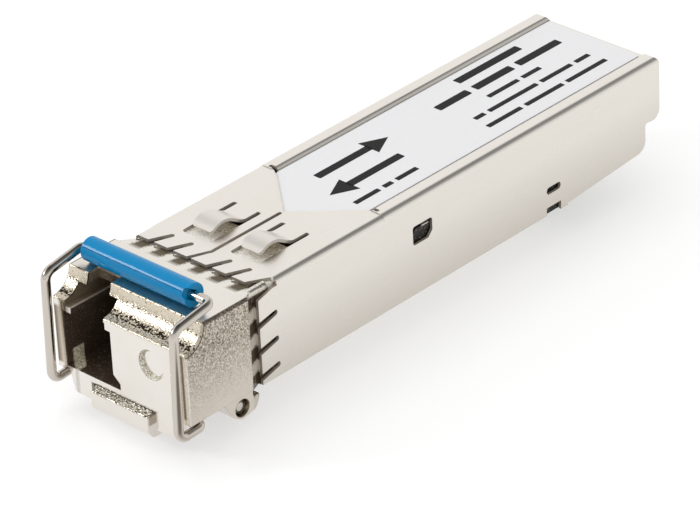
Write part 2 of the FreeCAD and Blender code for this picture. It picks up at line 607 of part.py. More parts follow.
def chip(x, y, width, length, height):
    """Moulded package with drawn-in sides, soldered on the board's top."""
    half = length / 2
    top = BOARD_TOP + height
    side = [(y - half, BOARD_TOP), (y + half, BOARD_TOP), (y + half - 0.1, top), (y - half + 0.1, top)]
    return prism("x", side, x - width / 2, x + width / 2)


def chip_rows(rows, width, length, height):
    """Small like parts in rows of (first x, y, step, count), as one group of separate blocks."""
    blocks = []
    for first, y, step, count in rows:
        for k in range(count):
            x = first + k * step
            blocks.append(box((x - width / 2, x + width / 2), (y - length / 2, y + length / 2),
                              (BOARD_TOP, BOARD_TOP + height)))
    return Part.makeCompound(blocks)


NODES = {
    "base_housing": base_housing(),
    "top_cover": top_cover(),
    "cover_label": cover_label(),
    "bail_wire": bail_wire(),
    "bail_sleeve": bail_sleeve(),
    "latch_lever": latch_lever(),
    "lever_pin": lever_pin(),
    "latch_spring": latch_spring(),
    "lc_receptacle": lc_receptacle(),
    "alignment_sleeve": alignment_sleeve(),
    "fibre_stub": fibre_stub(),
    "receptacle_gasket": receptacle_gasket(),
    "optics_block": optics_block(),
    "wavelength_filter": wavelength_filter(),
    "laser_can": can("y", PORT_X, PORT_Z, 1.75, 10.2, 2.3, LASER_FLANGE),
    "laser_pins": Part.makeCompound(LASER_PINS),
    "photodiode_can": can("x", FILTER_Y, PORT_Z, 1.5, -2.2, 2.1, DIODE_FLANGE),
    "photodiode_pins": Part.makeCompound(DIODE_PINS),
    "laser_flex": laser_flex(),
    "photodiode_flex": photodiode_flex(),
    "optics_clamp": optics_clamp(),
    "circuit_board": circuit_board(),
    "edge_contacts_top": edge_contacts(BOARD_TOP, BOARD_TOP + 0.04),
    "edge_contacts_bottom": edge_contacts(BOARD_LOW - 0.04, BOARD_LOW),
    "laser_driver_chip": chip(-3.0, 21.6, 4.0, 4.0, 0.85),
    "receiver_amplifier_chip": chip(2.5, 21.2, 3.0, 3.0, 0.85),
    "controller_chip": chip(0.4, 28.6, 5.0, 5.0, 0.9),
    "memory_chip": chip(-4.2, 33.0, 2.0, 3.0, 0.75),
    "chip_capacitors": chip_rows([(-4.6, 24.6, 1.4, 7), (-4.9, 27.0, 0.9, 2), (3.9, 30.6, 0.9, 2),
                                  (-1.8, 33.2, 1.2, 5)], 0.5, 1.0, 0.5),
    "chip_resistors": chip_rows([(-0.2, 18.8, 0.9, 6), (-4.9, 29.4, 0.9, 2), (-1.8, 35.0, 1.0, 6)],
                                0.5, 1.0, 0.35),
    "ferrite_beads": chip_rows([(3.6, 26.4, 1.3, 2), (4.4, 33.6, 1.3, 1)], 0.8, 1.6, 0.8),
}

os.makedirs("parts", exist_ok=True)
for name, shape in NODES.items():
    shape.exportStep("parts/" + name + ".step")
    print(name, len(shape.Solids), round(shape.Volume, 3), shape.isValid())
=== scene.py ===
import json
import math
import bpy
from mathutils import Matrix, Vector


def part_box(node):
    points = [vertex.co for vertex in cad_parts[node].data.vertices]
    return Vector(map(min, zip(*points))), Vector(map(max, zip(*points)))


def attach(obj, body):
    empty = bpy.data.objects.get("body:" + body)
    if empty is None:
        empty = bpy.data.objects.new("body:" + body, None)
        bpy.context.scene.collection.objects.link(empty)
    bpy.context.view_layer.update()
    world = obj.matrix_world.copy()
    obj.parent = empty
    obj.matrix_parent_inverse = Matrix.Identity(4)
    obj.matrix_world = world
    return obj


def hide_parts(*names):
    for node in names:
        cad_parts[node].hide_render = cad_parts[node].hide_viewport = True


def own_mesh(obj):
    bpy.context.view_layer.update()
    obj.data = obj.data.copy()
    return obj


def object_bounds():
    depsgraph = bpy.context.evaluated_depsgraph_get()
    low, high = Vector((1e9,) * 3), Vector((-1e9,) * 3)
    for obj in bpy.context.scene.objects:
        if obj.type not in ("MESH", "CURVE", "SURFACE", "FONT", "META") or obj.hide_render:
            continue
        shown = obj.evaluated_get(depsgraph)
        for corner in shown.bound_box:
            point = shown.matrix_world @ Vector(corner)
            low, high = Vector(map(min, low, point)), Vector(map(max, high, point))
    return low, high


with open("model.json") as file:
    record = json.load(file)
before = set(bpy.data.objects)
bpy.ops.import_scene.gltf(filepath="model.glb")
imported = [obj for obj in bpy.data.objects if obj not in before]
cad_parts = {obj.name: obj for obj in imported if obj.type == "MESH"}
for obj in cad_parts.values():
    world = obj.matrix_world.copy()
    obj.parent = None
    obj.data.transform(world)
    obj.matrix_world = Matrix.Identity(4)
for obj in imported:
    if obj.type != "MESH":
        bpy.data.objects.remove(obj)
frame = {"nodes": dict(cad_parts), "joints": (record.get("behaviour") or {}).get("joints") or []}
cad_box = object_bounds()

# Base housing and latch lever: two zinc die castings, the housing with the plug's port in its nose.
# Both are nickel plated. The mould's sides leave a pebbled grain, its front faces are polished.
# The lever rocks on a pin between the housing's lugs.
MM = 0.001
nodes = frame["nodes"]


def linear(hex_code):
    """A linear colour with alpha 1 from an sRGB hex code."""
    parts = [int(hex_code[i:i + 2], 16) / 255 for i in (1, 3, 5)]
    return tuple(c / 12.92 if c <= 0.04045 else ((c + 0.055) / 1.055) ** 2.4 for c in parts) + (1.0,)


def add_node(tree, kind, inputs=None, **settings):
    """Adds a node. An input that is a socket gets linked, any other value is set on the socket."""
    node = tree.nodes.new(kind)
    for name, value in settings.items():
        setattr(node, name, value)
    for name, value in (inputs or {}).items():
        if isinstance(value, bpy.types.NodeSocket):
            tree.links.new(value, node.inputs[name])
        else:
            node.inputs[name].default_value = value
    return node


def start_material(name):
    """A new material's node tree, its Object coordinates and its Principled shader."""
    material = bpy.data.materials.new(name)
    material.use_nodes = True
    tree = material.node_tree
    coordinates = add_node(tree, "ShaderNodeTexCoord").outputs["Object"]
    return material, tree, coordinates, tree.nodes["Principled BSDF"]


def finish_node(material, *names):
    """Gives the named CAD nodes this material."""
    for name in names:
        nodes[name].material_slots[0].material = material


# Grain: sizes of the pebbles and of the plating's clouds, and the noise levels from a pit to a crest, also
# where the painted glint specks begin.
NOISES = {"pebbles": 0.12 * MM, "coarse": 0.18 * MM, "clouds": 2.5 * MM}
PIT_LEVELS = {"pits": (0.38, 0.62), "side_pits": (0.32, 0.66), "glint_specks": (0.62, 0.7)}
RELIEF = (0.04 * MM, 0.3 * MM)
POLISHED_BUMP = 0.02
POLISH = (0.1, 0.18)
# Cove: a quarter round along the nose's top, and how much of it is pitted and painted dark in its pits,
# from its front lip (0) round to its upper edge (1).
COVE_AXIS = (0.0, -8.3 * MM, 8.65 * MM)
COVE_REACH = (2.1 * MM, 2.0 * MM)
COVE_SHADED_PITS = ((0.0, 0.41), (0.13, 0.41), (0.2, 0.49), (0.27, 0.57), (0.34, 0.54), (0.41, 0.45), (0.47, 0.25),
             (0.6, 0.25), (0.66, 0.5), (0.72, 0.35), (0.92, 0.33), (1.0, 0.42))
COVE_PIT_EDGE = 0.05
# Places in mm: each row fades in from the first to the second value along its axis. W is the distance from
# the middle plane. S is Y on the port's left wall, and slants forward across the port's floor. The jamb is
# the front face left of the port, the cap is the nose's top, the post stands beside the cover's fingers.
PORT_SLANT = 0.81
PORT_WALL = -6.1 * MM
PLACES = {"port": (("X", -6.16, -6.12), ("X", -0.18, -0.24), ("Y", -8.3, -8.2), ("Y", -0.6, -0.75),
                   ("Z", 0.8, 0.88), ("Z", 7.8, 7.72)),
          "latch_slot": (("X", -5.06, -5.02), ("X", -2.44, -2.48), ("Y", -5.1, -5.15), ("Z", 7.6, 7.7),
                         ("Z", 8.6, 8.4)),
          "port_rail": (("X", -3.4, -5.2), ("Z", 6.15, 6.3)),
          "rail_highlight": (("X", -5.12, -5.16), ("X", -5.34, -5.26), ("Z", 6.18, 6.24), ("Z", 6.4, 6.32)),
          "port_light_patch": (("S", -7.65, -7.5), ("S", -6.38, -6.5), ("X", -4.75, -4.95), ("Z", 2.1, 1.95)),
          "jamb": (("X", -5.95, -6.1), ("Y", -8.1, -8.2), ("Z", 6.2, 5.9), ("Z", 0.9, 1.1)),
          "jamb_wire_shade": (("X", -6.2, -7.0), ("Y", -8.1, -8.2), ("Z", 6.2, 5.9), ("Z", 0.9, 1.1)),
          "front_edge": (("X", 6.2, 6.45), ("X", 7.04, 6.98), ("Y", -8.0, -8.15), ("Z", 6.85, 6.75),
                         ("Z", 0.4, 0.6)),
          "edge_line": (("X", 6.5, 6.6), ("X", 6.86, 6.76), ("Y", -8.0, -8.15), ("Z", 6.85, 6.75),
                        ("Z", 0.9, 1.1)),
          "edge_highlight": (("X", 6.98, 7.04), ("Y", -8.1, -8.2), ("Z", 6.85, 6.75), ("Z", 0.4, 0.6)),
          "nose_front": (("Y", -7.8, -7.9),),
          "lip": (("W", 3.3, 3.2), ("Y", -7.8, -8.0), ("Z", -0.12, -0.02), ("Z", 0.5, 0.44)),
          "cap": (("Y", -4.0, -5.6), ("Z", 8.58, 8.62)),
          "side": (("W", 6.95, 7.1),),
          "side_top": (("W", 6.95, 7.1), ("Z", 0.8, 6.5)),
          "side_face": (("W", 7.0, 7.1),),
          "top_edge": (("W", 6.92, 6.98), ("Z", 8.36, 8.44)),
          "pin_end": (("W", 6.5, 6.6),),
          "front_of_fingers": (("X", 5.9, 5.7), ("Y", -1.6, -0.9), ("Y", 1.3, 1.2), ("Z", 8.1, 8.2)),
          "beside_fingers": (("W", 5.9, 6.1), ("Y", -1.6, -1.4), ("Y", 1.5, 1.4), ("Z", 8.3, 8.0)),
          "post": (("X", 5.3, 5.4), ("Y", -1.0, 2.0), ("Y", 1.5, 1.4), ("Z", 7.9, 8.0)),
          "shelf": (("Y", 1.3, 1.5), ("Z", 7.3, 7.5)),
          "shelf_front_light": (("Y", 5.0, 3.6),),
          "window": (("Y", 15.9, 16.1), ("Y", 20.7, 20.5), ("Z", 3.6, 3.8)),
          "catch_edge": (("Y", 18.2, 18.35), ("Y", 19.1, 18.9), ("Z", 5.7, 5.8), ("Z", 6.05, 6.0)),
          "slots": (("W", 5.5, 5.6), ("Y", 32.2, 32.4), ("Y", 35.4, 35.2))}
# Rings: axis, plane across it, the radii in mm where each fades in and out, and the place that bounds it.
RINGS = {"dimple": ((3.3 * MM, 0.0, 4.5 * MM), (1, 0, 1), (1.0, 1.06), (1.31, 1.28), "nose_front"),
         "pin_hole": ((0.0, -2.8 * MM, -0.45 * MM), (0, 1, 1), (0.46, 0.5), (0.8, 0.74), "pin_end"),
         "cove_rim": (COVE_AXIS, (0, 1, 1), (2.05, 2.09), (2.21, 2.15), "side_face")}
# Painted shade of the fingers, as dark and dull patches, one a finger: the place that bounds them, axis,
# pitch, middle and the levels of the outline.
FINGER_SHADE = {"front_finger_shade": ("front_of_fingers", "X", 2.07 * MM, 1.05 * MM, (0.5, 1.3)),
           "side_finger_shade": ("beside_fingers", "Z", 2.285 * MM, 5.1 * MM, (0.55, 1.15))}
RAGGEDNESS = 2.0
# Tones, from the lowest layer to the topmost: one colour, a pit's and a crest's, or a stack named before.
# In the inside stack shade is painted: the port dark brown, the latch slot darker still, the windows and
# slots near black.
LAYERS = {"inside": {"port": ("#5A4B3C",), "window": ("#0D0C0A",), "slots": ("#0D0C0A",),
                     # The port's rail is painted lighter, painted light on its top, and its edge is a painted
                     # highlight.
                     "latch_slot": ("#3B3025",), "port_rail": ("#8C7C66",), "rail_highlight": ("#E2D8C8",),
                     # A patch in the port's corner is painted light, and scattered light specks are painted
                     # glints.
                     "port_light_patch": ("#A8997A", "#FFFAE4"), "glint_specks": ("#B8AD9C",)},
          # The shelf is painted lighter towards its front, painted light, and stays darker under the tongues,
          # painted shade.
          "shelf": {"shelf": ("#A8987A", "#EEE6D6"), "shelf_front_light": ("#E6DCC8", "#FFFFFC")},
          # The nose's side is painted darker than the plating, a painted shade, and towards its top its pits
          # are painted dark and its crests light, painted shade and light for the grain's relief.
          "side": {"side": ("#DDD4C8",), "side_top": ("#5F503C", "#FFF4E3")},
          # The jamb carries the wire's painted shade: a little darker on its face, dark brown on its part
          # behind the wire.
          "casting": {"plating": ("#E8E4DE", "#E0DAD1"), "jamb": ("#DDD3C5",), "jamb_wire_shade": ("#66563F",),
                      # Beside the wire the nose's front edge is painted darker with a dark line along it,
                      # painted shade, and its rounded corner is a painted highlight.
                      "front_edge": ("#AC9F8C", "#CFC5B6"), "edge_line": ("#6E5F4C",), "side": (),
                      # The rim at the cove's end and the side's top edge are painted dark, painted
                      # reflections of the dark room in rounded edges.
                      "edge_highlight": ("#FFFAF0",), "cove_rim": ("#3A2F22",),
                      "top_edge": ("#2A2219", "#8F8575"), "lip": ("#46381F", "#FFF9EB"),
                      "post": ("#46381F", "#FFF9EB"), "shelf": (),
                      "dimple": ("#A4987C", "#FFFCF2"), "beside_fingers": ("#D9D0C2",),
                      # In front of the fingers and beside them, dark patches are painted shade of the
                      # fingers.
                      "side_finger_shade": ("#4B3F31",), "front_finger_shade": ("#5C4F36",), "pin_hole": ("#7A6E5C",),
                      # The cove's pits are painted dark, painted shade in the pits.
                      "cove": ("#D3C9B7",), "cove_pit_shade": ("#33291E",), "inside": ()}}
# The grain between a pair of tones, where it isn't the pits.
PAIR_GRAIN = {"plating": "clouds", "side_top": "side_pits"}
# Finish of those places: which are pebbled, half dulled or fully matt, and how rough some are.
PEBBLED = ("side", "cove", "lip", "shelf", "dimple", "post")
DULLED = ("inside", "side", "front_finger_shade")
DULLED_METAL = 0.5
MATT = ("shelf", "beside_fingers", "port_light_patch", "dimple")
ROUGHNESS = {"cap": 0.3, "cove": 0.1, "front_finger_shade": 0.45, "inside": 0.45, "side": 0.33}

# Plated zinc: a warm mirror, pitted where the mould was eroded, dull in the port and the corners, with
# painted shade in the port, its slots and windows, and under the fingers.
casting, tree, place, shader = start_material("nickel_plated_zinc")
axes = dict(add_node(tree, "ShaderNodeSeparateXYZ", {"Vector": place}).outputs.items())
axes["W"] = add_node(tree, "ShaderNodeMath", {0: axes["X"]}, operation="ABSOLUTE").outputs[0]
from_wall = add_node(tree, "ShaderNodeMath", {0: axes["X"], 1: PORT_WALL}, operation="SUBTRACT").outputs[0]
axes["S"] = add_node(tree, "ShaderNodeMath", {0: from_wall, 1: PORT_SLANT, 2: axes["Y"]},
                     operation="MULTIPLY_ADD").outputs[0]
grain = {}
for name, size in NOISES.items():
    grain[name] = add_node(tree, "ShaderNodeTexNoise", {"Vector": place, "Scale": 1 / size,
                                                        "Detail": 2.0}).outputs["Fac"]
for name, (low, high) in PIT_LEVELS.items():
    grain[name] = add_node(tree, "ShaderNodeMapRange", {"Value": grain["pebbles"], "From Min": low,
                                                        "From Max": high}).outputs[0]
masks = {"glint_specks": grain["glint_specks"]}
for name, rows in PLACES.items():
    mask = None
    for axis, edge, inner in rows:
        step = add_node(tree, "ShaderNodeMapRange", {"Value": axes[axis], "From Min": edge * MM,
                                                     "From Max": inner * MM}).outputs[0]
        if mask is not None:
            step = add_node(tree, "ShaderNodeMath", {0: mask, 1: step}, operation="MULTIPLY").outputs[0]
        mask = step
    masks[name] = mask
for name, (axis, plane, fade_in, fade_out, bounds) in RINGS.items():
    offset = add_node(tree, "ShaderNodeVectorMath", {0: place, 1: axis}, operation="SUBTRACT").outputs[0]
    offset = add_node(tree, "ShaderNodeVectorMath", {0: offset, 1: plane}, operation="MULTIPLY").outputs[0]
    reach = add_node(tree, "ShaderNodeVectorMath", {0: offset}, operation="LENGTH").outputs["Value"]
    masks[name] = masks[bounds]
    for edge, inner in (fade_in, fade_out):
        step = add_node(tree, "ShaderNodeMapRange", {"Value": reach, "From Min": edge * MM,
                                                     "From Max": inner * MM}).outputs[0]
        masks[name] = add_node(tree, "ShaderNodeMath", {0: masks[name], 1: step},
                               operation="MULTIPLY").outputs[0]
for name, (bounds, axis, pitch, middle, (edge, inner)) in FINGER_SHADE.items():
    phase = add_node(tree, "ShaderNodeMath", {0: axes[axis], 1: 2 * math.pi / pitch,
                                              2: -2 * math.pi * middle / pitch}, operation="MULTIPLY_ADD")
    wave = add_node(tree, "ShaderNodeMath", {0: phase.outputs[0]}, operation="COSINE")
    ragged = add_node(tree, "ShaderNodeMath", {0: grain["pebbles"], 1: RAGGEDNESS, 2: wave.outputs[0]},
                      operation="MULTIPLY_ADD")
    patch = add_node(tree, "ShaderNodeMapRange", {"Value": ragged.outputs[0], "From Min": edge,
                                                  "From Max": inner})
    masks[name] = add_node(tree, "ShaderNodeMath", {0: patch.outputs[0], 1: masks[bounds]},
                           operation="MULTIPLY").outputs[0]
# The cove's mask, and its pits, painted dark, by the turn round its axis as a share of a quarter circle.
offset = add_node(tree, "ShaderNodeVectorMath", {0: place, 1: COVE_AXIS}, operation="SUBTRACT").outputs[0]
offset = add_node(tree, "ShaderNodeVectorMath", {0: offset, 1: (0, 1, -1)}, operation="MULTIPLY").outputs[0]
reach = add_node(tree, "ShaderNodeVectorMath", {0: offset}, operation="LENGTH").outputs["Value"]
masks["cove"] = add_node(tree, "ShaderNodeMapRange", {"Value": reach, "From Min": COVE_REACH[0],
                                                      "From Max": COVE_REACH[1]}).outputs[0]
sides = add_node(tree, "ShaderNodeSeparateXYZ", {"Vector": offset}).outputs
turn = add_node(tree, "ShaderNodeMath", {0: sides["Y"], 1: sides["Z"]}, operation="ARCTAN2")
turn = add_node(tree, "ShaderNodeMapRange", {"Value": turn.outputs[0], "From Max": math.pi / 2})
pitted = add_node(tree, "ShaderNodeValToRGB", {"Fac": turn.outputs[0]})
pitted.color_ramp.elements.remove(pitted.color_ramp.elements[1])
for position, share in COVE_SHADED_PITS:
    pitted.color_ramp.elements.new(position).color = (share, share, share, 1)
depth = add_node(tree, "ShaderNodeMath", {0: pitted.outputs["Color"], 1: grain["coarse"]},
                 operation="SUBTRACT")
pit = add_node(tree, "ShaderNodeMapRange", {"Value": depth.outputs[0], "From Max": COVE_PIT_EDGE})
masks["cove_pit_shade"] = add_node(tree, "ShaderNodeMath", {0: pit.outputs[0], 1: masks["cove"]},
                              operation="MULTIPLY").outputs[0]
# The inside, where shade is painted, is the port with the slots and windows, without the cove and the ears'
# edges in the windows.
inside = masks["port"]
for operation, names in (("MAXIMUM", ("latch_slot", "window", "slots")),
                         ("SUBTRACT", ("cove", "catch_edge"))):
    for name in names:
        inside = add_node(tree, "ShaderNodeMath", {0: inside, 1: masks[name]}, operation=operation,
                          use_clamp=True).outputs[0]
masks["inside"] = inside
tones = {}
for stack, layers in LAYERS.items():
    colour = None
    for name, shades in layers.items():
        tone = linear(shades[0]) if shades else tones[name]
        if len(shades) == 2:
            level = grain[PAIR_GRAIN.get(name, "pits")]
            tone = add_node(tree, "ShaderNodeMix", {"Factor": level, 6: tone, 7: linear(shades[1])},
                            data_type="RGBA").outputs[2]
        if colour is not None:
            tone = add_node(tree, "ShaderNodeMix", {"Factor": masks[name], 6: colour, 7: tone},
                            data_type="RGBA").outputs[2]
        colour = tone
    tones[stack] = colour
joined = {}
for finish, names in (("pebbled", PEBBLED), ("dulled", DULLED)):
    joined[finish] = masks[names[0]]
    for name in names[1:]:
        joined[finish] = add_node(tree, "ShaderNodeMath", {0: joined[finish], 1: masks[name]},
                                  operation="MAXIMUM").outputs[0]
strength = add_node(tree, "ShaderNodeMapRange", {"Value": joined["pebbled"], "To Min": POLISHED_BUMP})
relief = add_node(tree, "ShaderNodeMapRange", {"Value": masks["side_top"], "To Min": RELIEF[0],
                                               "To Max": RELIEF[1]})
surface = add_node(tree, "ShaderNodeMix", {"Factor": masks["side"], 2: grain["pebbles"],
                                           3: grain["coarse"]})
bump = add_node(tree, "ShaderNodeBump", {"Height": surface.outputs[0], "Strength": strength.outputs[0],
                                         "Distance": relief.outputs[0]})
rough = add_node(tree, "ShaderNodeMapRange", {"Value": grain["clouds"], "To Min": POLISH[0],
                                              "To Max": POLISH[1]}).outputs[0]
for name, value in ROUGHNESS.items():
    rough = add_node(tree, "ShaderNodeMix", {"Factor": masks[name], 2: rough, 3: value}).outputs[0]
metal = add_node(tree, "ShaderNodeMapRange", {"Value": joined["dulled"], "To Min": 1.0,
                                              "To Max": DULLED_METAL}).outputs[0]
for name in MATT:
    metal = add_node(tree, "ShaderNodeMath", {0: metal, 1: masks[name]}, operation="SUBTRACT",
                     use_clamp=True).outputs[0]
tree.links.new(tones["casting"], shader.inputs["Base Color"])
tree.links.new(rough, shader.inputs["Roughness"])
tree.links.new(metal, shader.inputs["Metallic"])
tree.links.new(bump.outputs[0], shader.inputs["Normal"])
finish_node(casting, "base_housing", "latch_lever")

# Lever pin, plug receptacle and optics block: turned and milled stainless steel.
# The pin is pressed through the lugs, the receptacle is clamped against the bulkhead.
# Turning leaves fine rings, which soften the reflection.
RING_PITCH = 0.0628 * MM
RING_DEPTH = 0.004 * MM
RING_ROUGHNESS = (0.22, 0.34)
# A wave texture of scale 1 repeats after this length.
WAVE_LENGTH = 0.314
turned, tree, place, shader = start_material("turned_stainless_steel")
rings = add_node(tree, "ShaderNodeTexWave", {"Vector": place, "Scale": WAVE_LENGTH / RING_PITCH,
                                             "Distortion": 2.0, "Detail": 2.0}, bands_direction="Y")
rough = add_node(tree, "ShaderNodeMapRange", {"Value": rings.outputs["Fac"], "To Min": RING_ROUGHNESS[0],
                                              "To Max": RING_ROUGHNESS[1]})
bump = add_node(tree, "ShaderNodeBump", {"Height": rings.outputs["Fac"], "Strength": 0.25,
                                         "Distance": RING_DEPTH})
tree.links.new(rough.outputs[0], shader.inputs["Roughness"])
tree.links.new(bump.outputs[0], shader.inputs["Normal"])
shader.inputs["Base Color"].default_value = linear("#C9C5BF")
shader.inputs["Metallic"].default_value = 1.0
finish_node(turned, "lever_pin", "lc_receptacle", "optics_block")

# Latch spring and optics clamp: strips of rolled spring steel, stamped and bent.
# The spring presses on the lever's arm, the clamp holds the receptacle's flange.
# Rolling leaves long faint streaks.
STREAK_WIDTH = 0.08 * MM
STREAK_LENGTH = 3.0 * MM
STRIP_ROUGHNESS = (0.22, 0.4)
strip, tree, place, shader = start_material("rolled_spring_strip")
stretch = add_node(tree, "ShaderNodeMapping", {"Vector": place, "Scale": (1 / STREAK_WIDTH, 1 / STREAK_LENGTH,
                                                                         1 / STREAK_WIDTH)})
streaks = add_node(tree, "ShaderNodeTexNoise", {"Vector": stretch.outputs[0], "Scale": 1.0, "Detail": 3.0})
rough = add_node(tree, "ShaderNodeMapRange", {"Value": streaks.outputs["Fac"], "To Min": STRIP_ROUGHNESS[0],
                                              "To Max": STRIP_ROUGHNESS[1]})
tree.links.new(rough.outputs[0], shader.inputs["Roughness"])
shader.inputs["Base Color"].default_value = linear("#B9B6B0")
shader.inputs["Metallic"].default_value = 1.0
finish_node(strip, "latch_spring", "optics_clamp")

# Latch leaf spring: the bent strip of spring steel again, fixed on the housing by its root.
# It flattens as the lever's arm rises. This merged copy takes the CAD node's place.
SEAM = 0.0005 * MM
bpy.ops.object.select_all(action="DESELECT")
nodes["latch_spring"].select_set(True)
bpy.context.view_layer.objects.active = nodes["latch_spring"]
bpy.ops.object.duplicate(linked=False)
leaf = bpy.context.object
leaf.name = "latch_leaf_spring"
bpy.ops.object.mode_set(mode="EDIT")
bpy.ops.mesh.select_all(action="SELECT")
bpy.ops.mesh.remove_doubles(threshold=SEAM)
bpy.ops.mesh.normals_make_consistent(inside=False)
bpy.ops.object.mode_set(mode="OBJECT")
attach(leaf, "housing")
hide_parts("latch_spring")
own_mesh(leaf)

# Alignment sleeve and fibre stub: ground zirconia ceramic, a dense ivory white with a wet gloss.
# The slit sleeve sits loose in the receptacle, the stub is pressed in behind it.
HAZE_SIZE = 0.3 * MM
zirconia, tree, place, shader = start_material("ground_zirconia")
haze = add_node(tree, "ShaderNodeTexNoise", {"Vector": place, "Scale": 1 / HAZE_SIZE, "Detail": 2.0})
tint = add_node(tree, "ShaderNodeMix", {"Factor": haze.outputs["Fac"], 6: linear("#F3F0E6"),
                                        7: linear("#E8E3D4")}, data_type="RGBA")
tree.links.new(tint.outputs[2], shader.inputs["Base Color"])
shader.inputs["Roughness"].default_value = 0.12
shader.inputs["IOR"].default_value = 2.1
finish_node(zirconia, "alignment_sleeve", "fibre_stub")

# Receptacle gasket: a ring of rubber filled with metal powder, pinched under the flange.
# The filler shows as a fine grey grain on black.
FILLER_SIZE = 0.05 * MM
rubber, tree, place, shader = start_material("conductive_rubber")
filler = add_node(tree, "ShaderNodeTexNoise", {"Vector": place, "Scale": 1 / FILLER_SIZE, "Detail": 2.0})
tint = add_node(tree, "ShaderNodeMix", {"Factor": filler.outputs["Fac"], 6: linear("#161616"),
                                        7: linear("#3A3A3A")}, data_type="RGBA")
tree.links.new(tint.outputs[2], shader.inputs["Base Color"])
shader.inputs["Roughness"].default_value = 0.7
finish_node(rubber, "receptacle_gasket")

# Wavelength filter: a coated glass plate glued across the optics block's bore at 45 degrees.
# The coating gives it a cool tint that varies a little.
COATING_PATCH = 0.8 * MM
glass, tree, place, shader = start_material("coated_filter_glass")
film = add_node(tree, "ShaderNodeTexNoise", {"Vector": place, "Scale": 1 / COATING_PATCH})
tint = add_node(tree, "ShaderNodeMix", {"Factor": film.outputs["Fac"], 6: linear("#BFD8E6"),
                                        7: linear("#C9C3E4")}, data_type="RGBA")
tree.links.new(tint.outputs[2], shader.inputs["Base Color"])
shader.inputs["Roughness"].default_value = 0.05
shader.inputs["IOR"].default_value = 1.52
shader.inputs["Transmission Weight"].default_value = 0.8
finish_node(glass, "wavelength_filter")

# Laser and photodiode cans with their leads, and the card edge's contacts: gold over nickel.
# The cans are drawn and welded, the leads are drawn wire, the contacts are plated on the board.
# Thin gold varies in tone and keeps a soft satin gloss.
GOLD_PATCH = 0.6 * MM
GOLD_ROUGHNESS = (0.2, 0.36)
gold, tree, place, shader = start_material("gold_plating")
tone = add_node(tree, "ShaderNodeTexNoise", {"Vector": place, "Scale": 1 / GOLD_PATCH, "Detail": 3.0})
tint = add_node(tree, "ShaderNodeMix", {"Factor": tone.outputs["Fac"], 6: linear("#E8C977"),
                                        7: linear("#D9B45C")}, data_type="RGBA")
rough = add_node(tree, "ShaderNodeMapRange", {"Value": tone.outputs["Fac"], "To Min": GOLD_ROUGHNESS[0],
                                              "To Max": GOLD_ROUGHNESS[1]})
tree.links.new(tint.outputs[2], shader.inputs["Base Color"])
tree.links.new(rough.outputs[0], shader.inputs["Roughness"])
shader.inputs["Metallic"].default_value = 1.0
finish_node(gold, "laser_can", "laser_pins", "photodiode_can", "photodiode_pins",
            "edge_contacts_top", "edge_contacts_bottom")

# Flexible circuits: amber polyimide film over copper tracks that run along the strip.
# They are soldered to the cans' leads and to the board.
TRACK_PITCH = 0.8 * MM
TRACK_EDGE = (0.45, 0.55)
TRACK_DEPTH = 0.02 * MM
polyimide, tree, place, shader = start_material("polyimide_film")
tracks = add_node(tree, "ShaderNodeTexWave", {"Vector": place, "Scale": WAVE_LENGTH / TRACK_PITCH},
                  bands_direction="X")
ridge = add_node(tree, "ShaderNodeMapRange", {"Value": tracks.outputs["Fac"], "From Min": TRACK_EDGE[0],
                                              "From Max": TRACK_EDGE[1]})
tint = add_node(tree, "ShaderNodeMix", {"Factor": ridge.outputs[0], 6: linear("#B9741F"),
                                        7: linear("#D08A3A")}, data_type="RGBA")
bump = add_node(tree, "ShaderNodeBump", {"Height": ridge.outputs[0], "Strength": 0.4,
                                         "Distance": TRACK_DEPTH})
tree.links.new(tint.outputs[2], shader.inputs["Base Color"])
tree.links.new(bump.outputs[0], shader.inputs["Normal"])
shader.inputs["Roughness"].default_value = 0.3
finish_node(polyimide, "laser_flex", "photodiode_flex")

# Circuit board: glass epoxy laminate under green solder mask, which lies over copper tracks.
# The tracks show as slightly lighter, raised lines. The board rests on the housing's walls.
BOARD_GRID = 2.2 * MM
BOARD_TRACK_SHARE = 0.09
BOARD_TRACK_DEPTH = 0.03 * MM
WEAVE_SIZE = 0.5 * MM
MASK_ROUGHNESS = (0.28, 0.42)
laminate, tree, place, shader = start_material("solder_mask_laminate")
cells = add_node(tree, "ShaderNodeTexBrick", {"Vector": place, "Scale": 1 / BOARD_GRID,
                                              "Mortar Size": BOARD_TRACK_SHARE,
                                              "Color1": linear("#0F4A2C"), "Color2": linear("#12522F"),
                                              "Mortar": linear("#1F6B40")})
weave = add_node(tree, "ShaderNodeTexNoise", {"Vector": place, "Scale": 1 / WEAVE_SIZE, "Detail": 1.0})
bump = add_node(tree, "ShaderNodeBump", {"Height": cells.outputs["Fac"], "Strength": 0.3,
                                         "Distance": BOARD_TRACK_DEPTH})
rough = add_node(tree, "ShaderNodeMapRange", {"Value": weave.outputs["Fac"], "To Min": MASK_ROUGHNESS[0],
                                              "To Max": MASK_ROUGHNESS[1]})
tree.links.new(cells.outputs["Color"], shader.inputs["Base Color"])
tree.links.new(bump.outputs[0], shader.inputs["Normal"])
tree.links.new(rough.outputs[0], shader.inputs["Roughness"])
finish_node(laminate, "circuit_board")

